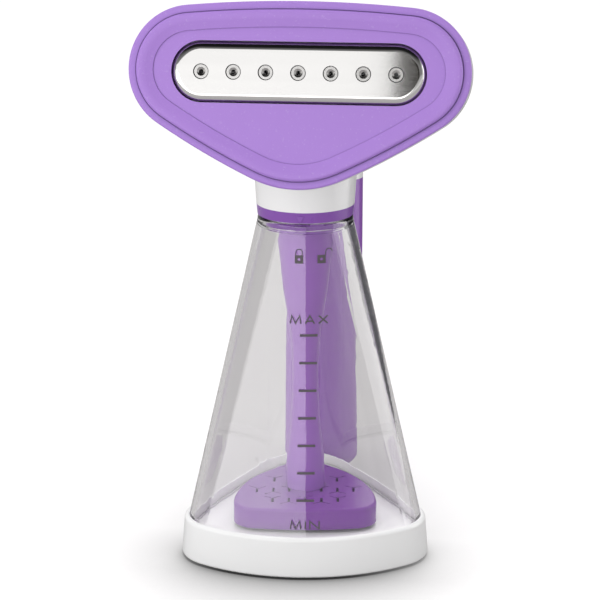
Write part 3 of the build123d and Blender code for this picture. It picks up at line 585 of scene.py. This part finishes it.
@dataclass
class Tank:
    """Clear tank on its white base, with the level marks and the lock signs printed on its front."""

    wardrobe: Wardrobe
    turn: float = 6.0
    proud: float = 0.05 * MM
    lean: float = 0.0195
    lean_from: float = 27.0 * MM
    tick_length: float = 8.3 * MM
    tick_height: float = 1.2 * MM
    tick_top: float = 112.5 * MM
    tick_pitch: float = 12.6 * MM
    ticks: int = 7
    word_height: float = 4.3 * MM
    word_stroke: float = 0.74 * MM
    top_word: tuple[str, float, float] = ("MAX", 18.0 * MM, 119.6 * MM)
    low_word: tuple[str, float, float] = ("MIN", 14.1 * MM, 25.6 * MM)
    lock_width: float = 3.9 * MM
    lock_height: float = 3.8 * MM
    lock_hole: float = 0.65 * MM
    shackle_radius: float = 1.7 * MM
    shackle_stroke: float = 0.45 * MM
    shackle_leg: float = 1.2 * MM
    lock_z: float = 146.9 * MM
    lock_x: float = 5.2 * MM

    def dress(self) -> None:
        """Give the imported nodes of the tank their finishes."""
        self.wardrobe.dress({
            "tank_shell": CLEAR, "tank_base": WHITE, "base_plate": WHITE, "base_pad": BLACK_RUBBER,
            "skirt_seal": SILICONE,
        })

    def print_on(self, sketch: Sketch, name: str) -> None:
        """Print a sketch on the front of the tank.

        Args:
            sketch: The sketch, in the tank's own frame before its turn.
            name: Name of the new piece.
        """
        turn = Matrix.Rotation(math.radians(self.turn), 3, "Z")
        piece = sketch.wrap(name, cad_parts["tank_shell"], Vector((0, 1, 0)), turn, self.proud)
        piece.data.materials.append(self.wardrobe.material(GREY_INK))
        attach(piece, Body.TANK.value)
        LOG.info("%s: %d faces", name, len(piece.data.polygons))

    def middle(self, z: float) -> float:
        """Find where the middle of the marks is along X at a height, as their column leans a little."""
        return self.lean * (z - self.lean_from)

    def padlock(self, sketch: Sketch, x: float, swing: float) -> None:
        """Draw a padlock.

        Args:
            sketch: Where it is drawn.
            x: Middle of its case along X.
            swing: How far its shackle is swung aside, 0 when it is shut.
        """
        top = self.lock_z + self.lock_height / 2
        arch, foot = top + self.shackle_leg, self.shackle_radius - self.shackle_stroke / 2
        sketch.plate(self.lock_width, self.lock_height, self.lock_hole, x, self.lock_z)
        sketch.hoop(self.shackle_radius, self.shackle_stroke, x + swing, arch, 180.0)
        for side in (-1, 1):
            if not swing or side < 0:
                sketch.bar(self.shackle_stroke, self.shackle_leg, x + swing + side * foot, top + self.shackle_leg / 2)

    def marks(self) -> None:
        """Print the level scale, its two words and the two lock signs."""
        scale = Sketch()
        for index in range(self.ticks):
            z = self.tick_top - index * self.tick_pitch
            scale.bar(self.tick_length, self.tick_height, self.middle(z), z)
        self.print_on(scale, "level_ticks")
        words = Sketch()
        for text, width, z in (self.top_word, self.low_word):
            words.word(text, self.word_height, self.word_stroke, width, self.middle(z), z)
        self.print_on(words, "level_words")
        signs = Sketch()
        middle = self.middle(self.lock_z)
        self.padlock(signs, middle - self.lock_x, 0.0)
        self.padlock(signs, middle + self.lock_x, 2 * self.shackle_radius)
        self.print_on(signs, "lock_signs")


@dataclass
class Neck:
    """Spigot, lock ring and seal between the tank and the housing."""

    wardrobe: Wardrobe

    def dress(self) -> None:
        """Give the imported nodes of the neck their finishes."""
        self.wardrobe.dress({"spigot": RING_PURPLE, "lock_ring": RING_PURPLE, "mouth_seal": SILICONE})


@dataclass
class Boiler:
    """Stem and perforated foot in the tank, with the heater inside."""

    wardrobe: Wardrobe

    def dress(self) -> None:
        """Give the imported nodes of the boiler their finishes."""
        self.wardrobe.dress({
            "pickup_stem": PURPLE, "foot_cover": FOOT_PURPLE_PAINTED_SHADE, "foot_pan": GREY_METAL, "heating_element": GREY_METAL,
            "thermostat": ALUMINIUM, "thermal_fuse": NATURAL, "steam_pipe": SILICONE, "lead_wires": LEAD,
        })


@dataclass
class SteamHead:
    """Purple face with the polished nozzle plate, and the steam chamber behind it."""

    wardrobe: Wardrobe

    def dress(self) -> None:
        """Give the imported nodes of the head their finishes."""
        self.wardrobe.dress({
            "head_face": FACE_PURPLE, "steam_plate": STEEL, "steam_nozzles": NOZZLE_STEEL, "plate_gasket": SILICONE,
            "steam_chamber": ALUMINIUM, "chamber_screws": GREY_METAL,
        })


@dataclass
class Housing:
    """White shell behind the head, in two halves."""

    wardrobe: Wardrobe

    def dress(self) -> None:
        """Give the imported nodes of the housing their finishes."""
        self.wardrobe.dress({"housing_left": WHITE, "housing_right": WHITE, "housing_screws": GREY_METAL})


@dataclass
class Handle:
    """Purple handle with the rocker switch, the pilot lamp and the cord gland in its back."""

    wardrobe: Wardrobe
    sign_height: float = 2.6 * MM
    sign_stroke: float = 0.45 * MM
    sign_away: float = 4.0 * MM
    proud: float = 0.04 * MM

    def dress(self) -> None:
        """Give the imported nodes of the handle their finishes."""
        self.wardrobe.dress({
            "handle_front": PURPLE, "handle_rear": PURPLE, "handle_screws": GREY_METAL, "switch_body": BLACK,
            "switch_rocker": BLACK, "pilot_lens": LENS, "pilot_lamp": NATURAL, "cord_gland": BLACK_RUBBER,
            "terminal_block": NATURAL,
        })

    def marks(self) -> None:
        """Print the on and off signs on the rocker."""
        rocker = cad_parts["switch_rocker"]
        low, high = (Vector(corner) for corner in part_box("switch_rocker"))
        middle = (low + high) / 2
        signs = Sketch()
        signs.bar(self.sign_stroke, self.sign_height, middle.x, middle.z + self.sign_away)
        signs.hoop(self.sign_height / 2, self.sign_stroke, middle.x, middle.z - self.sign_away)
        piece = signs.wrap("switch_signs", rocker, Vector((0, -1, 0)), Matrix.Identity(3), self.proud)
        piece.data.materials.append(self.wardrobe.material(WHITE_INK))
        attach(piece, Body.ROCKER.value)
        LOG.info("%s: %d faces", piece.name, len(piece.data.polygons))


@dataclass(frozen=True)
class Panel:
    """Upright soft light: the angles of its ends from the front, its edges' heights, its distance and brightness."""

    name: str
    turn: tuple[float, float]
    heights: tuple[float, float]
    away: float
    level: float
    gloss_only: bool = False


@dataclass(frozen=True)
class Card:
    """Dark card: the angle it stands at from the front, its width, its edges' heights, its distance and colour."""

    name: str
    turn: float
    width: float
    heights: tuple[float, float]
    away: float
    colour: Colour


@dataclass
class Studio:
    """White table and background, soft lights, dark cards for the reflections, and the camera."""

    target: tuple[float, float, float] = (-0.0026, 0.0, 0.120)
    distance: float = 0.900
    azimuth: float = 6.4
    pitch: float = 16.25
    lens: float = 113.1
    floor_size: float = 6.0
    floor_colour: Colour = (0.44, 0.43, 0.43)
    floor_lift: float = 0.58
    glass_lift: float = 0.05
    # Painted shadow on the floor: how far it reaches, the range of openness it covers, how dark it gets, and where it
    # fades from the front to behind.
    painted_shadow_reach: float = 0.065
    painted_shadow_range: tuple[float, float] = (0.44, 0.97)
    painted_shadow_depth: float = 0.95
    painted_shadow_front: tuple[float, float] = (-0.05, 0.0)
    painted_shadow_behind: float = 0.25
    panels: tuple[Panel, ...] = (
        Panel("low_panel", (-63.0, 6.4), (0.0, 0.41), 1.25, 2.3),
        Panel("high_panel", (-63.0, -1.8), (0.41, 0.62), 1.25, 1.05),
        Panel("right_panel", (6.4, 60.0), (0.0, 0.41), 1.25, 0.3),
        Panel("side_panel", (76.0, 121.0), (0.0, 0.45), 0.5, 2.0, True),
    )
    key_place: tuple[float, float, float] = (-0.43, -0.29, 0.50)
    key_size: float = 0.5
    key_level: float = 0.8
    back_from: tuple[float, float, float] = (0.15, 0.95, 0.95)
    back_spread: float = 50.0
    back_level: float = 0.34
    cards: tuple[Card, ...] = (
        Card("back_card", 146.0, 0.34, (0.0, 0.45), 0.45, (0.12, 0.12, 0.13)),
        Card("front_card", 8.3, 0.40, (0.38, 0.62), 1.20, (0.03, 0.025, 0.02)),
    )
    ambient: float = 0.48
    sky: float = 0.45
    fill: float = 0.22
    room: float = 0.26
    room_behind: float = 0.25
    room_below: float = 0.25
    room_above: float = -0.25
    room_wall: float = 0.65

    def camera(self) -> None:
        """Set the camera at the viewing angle of the photograph."""
        data = bpy.data.cameras.new("camera")
        data.lens, data.sensor_width, data.sensor_fit = self.lens, 36.0, "HORIZONTAL"
        data.clip_start = 0.01
        holder = bpy.data.objects.new("camera", data)
        turn, lift = math.radians(self.azimuth), math.radians(self.pitch)
        away = Vector((math.sin(turn) * math.cos(lift), -math.cos(turn) * math.cos(lift), math.sin(lift)))
        facing = (-away).to_track_quat("-Z", "Y").to_matrix().to_4x4()
        place = Matrix.Translation(Vector(self.target) + away * self.distance)
        holder.matrix_world = place @ facing
        bpy.context.scene.collection.objects.link(holder)
        bpy.context.scene.camera = holder

    def panel(self, panel: Panel) -> None:
        """Stand a soft light upright beside the steamer.

        Args:
            panel: The light.
        """
        (low, high), middle = panel.heights, math.radians(sum(panel.turn) / 2)
        half = math.radians((panel.turn[1] - panel.turn[0]) / 2)
        side = Vector((math.sin(middle), -math.cos(middle), 0))
        place = side * panel.away + Vector((0, 0, (low + high) / 2))
        size = (2 * panel.away * math.tan(half), high - low)
        holder = self.lamp(panel.name, place, -side, size, panel.level)
        if panel.gloss_only:
            holder.visible_diffuse = holder.visible_transmission = False

    def lamp(
        self, name: str, place: Vector, facing: Vector, size: tuple[float, float], brightness: float
    ) -> bpy.types.Object:
        """Set up a flat soft light.

        Args:
            name: Its name.
            place: Its middle.
            facing: Direction in which it shines.
            size: Its width and height.
            brightness: How bright it looks, 1 for white.

        Returns:
            The light's object.
        """
        data = bpy.data.lights.new(name, "AREA")
        data.shape, data.size, data.size_y = "RECTANGLE", *size
        data.energy = brightness * math.pi * size[0] * size[1]
        holder = bpy.data.objects.new(name, data)
        holder.matrix_world = Matrix.Translation(place) @ facing.to_track_quat("-Z", "Y").to_matrix().to_4x4()
        bpy.context.scene.collection.objects.link(holder)
        return holder

    def back(self) -> bpy.types.Object:
        """Light everything evenly from behind and above, so that the soft shadow falls to the front.

        Returns:
            The light's object.
        """
        data = bpy.data.lights.new("back", "SUN")
        data.energy, data.angle = self.back_level * math.pi, math.radians(self.back_spread)
        holder = bpy.data.objects.new("back", data)
        holder.matrix_world = (-Vector(self.back_from)).to_track_quat("-Z", "Y").to_matrix().to_4x4()
        bpy.context.scene.collection.objects.link(holder)
        return holder

    def card(self, card: Card) -> None:
        """Stand a dark card up, which only gloss and glass show.

        Args:
            card: The card.
        """
        (low, high), turn = card.heights, math.radians(card.turn)
        mesh = bmesh.new()
        bmesh.ops.create_grid(mesh, x_segments=1, y_segments=1, size=0.5)
        bmesh.ops.scale(mesh, vec=(card.width, high - low, 1), verts=mesh.verts)
        bmesh.ops.rotate(mesh, cent=(0, 0, 0), matrix=Matrix.Rotation(math.radians(90), 3, "X"), verts=mesh.verts)
        bmesh.ops.translate(mesh, vec=(0, -card.away, (low + high) / 2), verts=mesh.verts)
        bmesh.ops.rotate(mesh, cent=(0, 0, 0), matrix=Matrix.Rotation(turn, 3, "Z"), verts=mesh.verts)
        graph = Graph.of_material(card.name)
        graph.surface({"Base Color": (*card.colour, 1.0), "Roughness": 0.9})
        piece = self.stand(mesh, card.name, graph.holder)
        piece.visible_camera = piece.visible_diffuse = piece.visible_shadow = False

    def stand(self, mesh: bmesh.types.BMesh, name: str, material: bpy.types.Material) -> bpy.types.Object:
        """Make a mesh a piece of the studio, which isn't part of the steamer.

        Args:
            mesh: The mesh. It is used up.
            name: Name of the piece.
            material: Its material.

        Returns:
            The piece.
        """
        data = bpy.data.meshes.new(name)
        mesh.to_mesh(data)
        mesh.free()
        data.materials.append(material)
        piece = bpy.data.objects.new(name, data)
        bpy.context.scene.collection.objects.link(piece)
        return piece

    def floor(self) -> None:
        """Lay the pale floor, which shows white, keeps the real shadow, and has a painted shadow close in front of
        the steamer.
        """
        mesh = bmesh.new()
        bmesh.ops.create_grid(mesh, x_segments=1, y_segments=1, size=self.floor_size / 2)
        graph = Graph.of_material("floor")
        path = graph.node("ShaderNodeLightPath").outputs
        lifts = [
            (path["Is Camera Ray"], self.floor_lift), (path["Is Glossy Ray"], self.glass_lift),
            (path["Is Transmission Ray"], self.glass_lift),
        ]
        # Painted shadow: where the floor is closed in by the steamer, most in front and less behind, its colour and
        # its white lift are darkened toward black.
        way = graph.node("ShaderNodeSeparateXYZ", {"Vector": graph.place}).outputs
        front = graph.span(way["Y"], self.painted_shadow_front, (1.0, self.painted_shadow_behind))
        near = graph.span(graph.open_air(self.painted_shadow_reach), self.painted_shadow_range, (self.painted_shadow_depth, 0.0))
        dark = graph.node("ShaderNodeMath", {0: near, 1: front}, operation="MULTIPLY").outputs[0]
        clear = graph.span(dark, UNIT, (1.0, 0.0))
        lift = graph.node("ShaderNodeMath", {0: graph.sum_of(lifts, 0.0), 1: clear}, operation="MULTIPLY").outputs[0]
        colour = graph.blend(clear, (0.0, 0.0, 0.0), self.floor_colour)
        graph.surface({
            "Base Color": colour, "Roughness": 0.9, "Specular IOR Level": 0.0,
            "Emission Color": (1.0, 1.0, 1.0, 1.0), "Emission Strength": lift,
        })
        self.stand(mesh, "floor", graph.holder)

    def world(self) -> None:
        """Light the background: plain and brighter above for matt surfaces, and a pale room for gloss and glass."""
        graph = Graph(bpy.data.worlds.new("studio"))
        path = graph.node("ShaderNodeLightPath").outputs
        way = graph.node("ShaderNodeSeparateXYZ", {"Vector": graph.coordinates["Generated"]}).outputs
        top, right = (graph.span(way[axis], UNIT, UNIT) for axis in ("Z", "X"))
        soft = graph.sum_of([(top, self.sky), (right, self.fill)], self.ambient)
        behind = graph.span(way["Y"], (0.15, 0.6), UNIT)
        below = graph.span(way["Z"], (-0.05, 0.05), (1.0, 0.0))
        above = graph.span(way["Z"], (0.35, 0.7), UNIT)
        wall = graph.span(way["X"], (0.75, 0.95), UNIT)
        room = graph.sum_of([
            (behind, self.room_behind), (below, self.room_below), (above, self.room_above), (wall, self.room_wall),
        ], self.room)
        sharp = graph.sum_of([(path["Is Glossy Ray"], 1.0), (path["Is Transmission Ray"], 1.0)], 0.0)
        level = graph.node("ShaderNodeMix", {0: sharp, 2: soft, 3: room}, data_type="FLOAT").outputs[0]
        seen = {0: path["Is Camera Ray"], 2: level, 3: 1.0}
        level = graph.node("ShaderNodeMix", seen, data_type="FLOAT").outputs[0]
        light = graph.node("ShaderNodeBackground", {"Color": (1.0, 1.0, 1.0, 1.0), "Strength": level}).outputs[0]
        graph.node("ShaderNodeOutputWorld", {"Surface": light})
        bpy.context.scene.world = graph.holder

    def build(self) -> None:
        """Build the whole studio."""
        self.camera()
        for panel in self.panels:
            self.panel(panel)
        spot, side = Vector(self.key_place), self.key_size
        key = self.lamp("key", spot, Vector(self.target) - spot, (side, side), self.key_level)
        for holder in (key, self.back()):
            holder.visible_glossy = False
        for card in self.cards:
            self.card(card)
        self.floor()
        self.world()
        bpy.context.scene.view_settings.view_transform = "Standard"


def main() -> None:
    """Dress the steamer and set the studio."""
    logging.basicConfig(level=logging.INFO, format="%(message)s")
    Studio().build()
    wardrobe = Wardrobe()
    tank, handle = Tank(wardrobe), Handle(wardrobe)
    for part in (tank, Neck(wardrobe), Boiler(wardrobe), SteamHead(wardrobe), Housing(wardrobe), handle):
        part.dress()
    tank.marks()
    handle.marks()


if __name__ == "__main__":
    main()
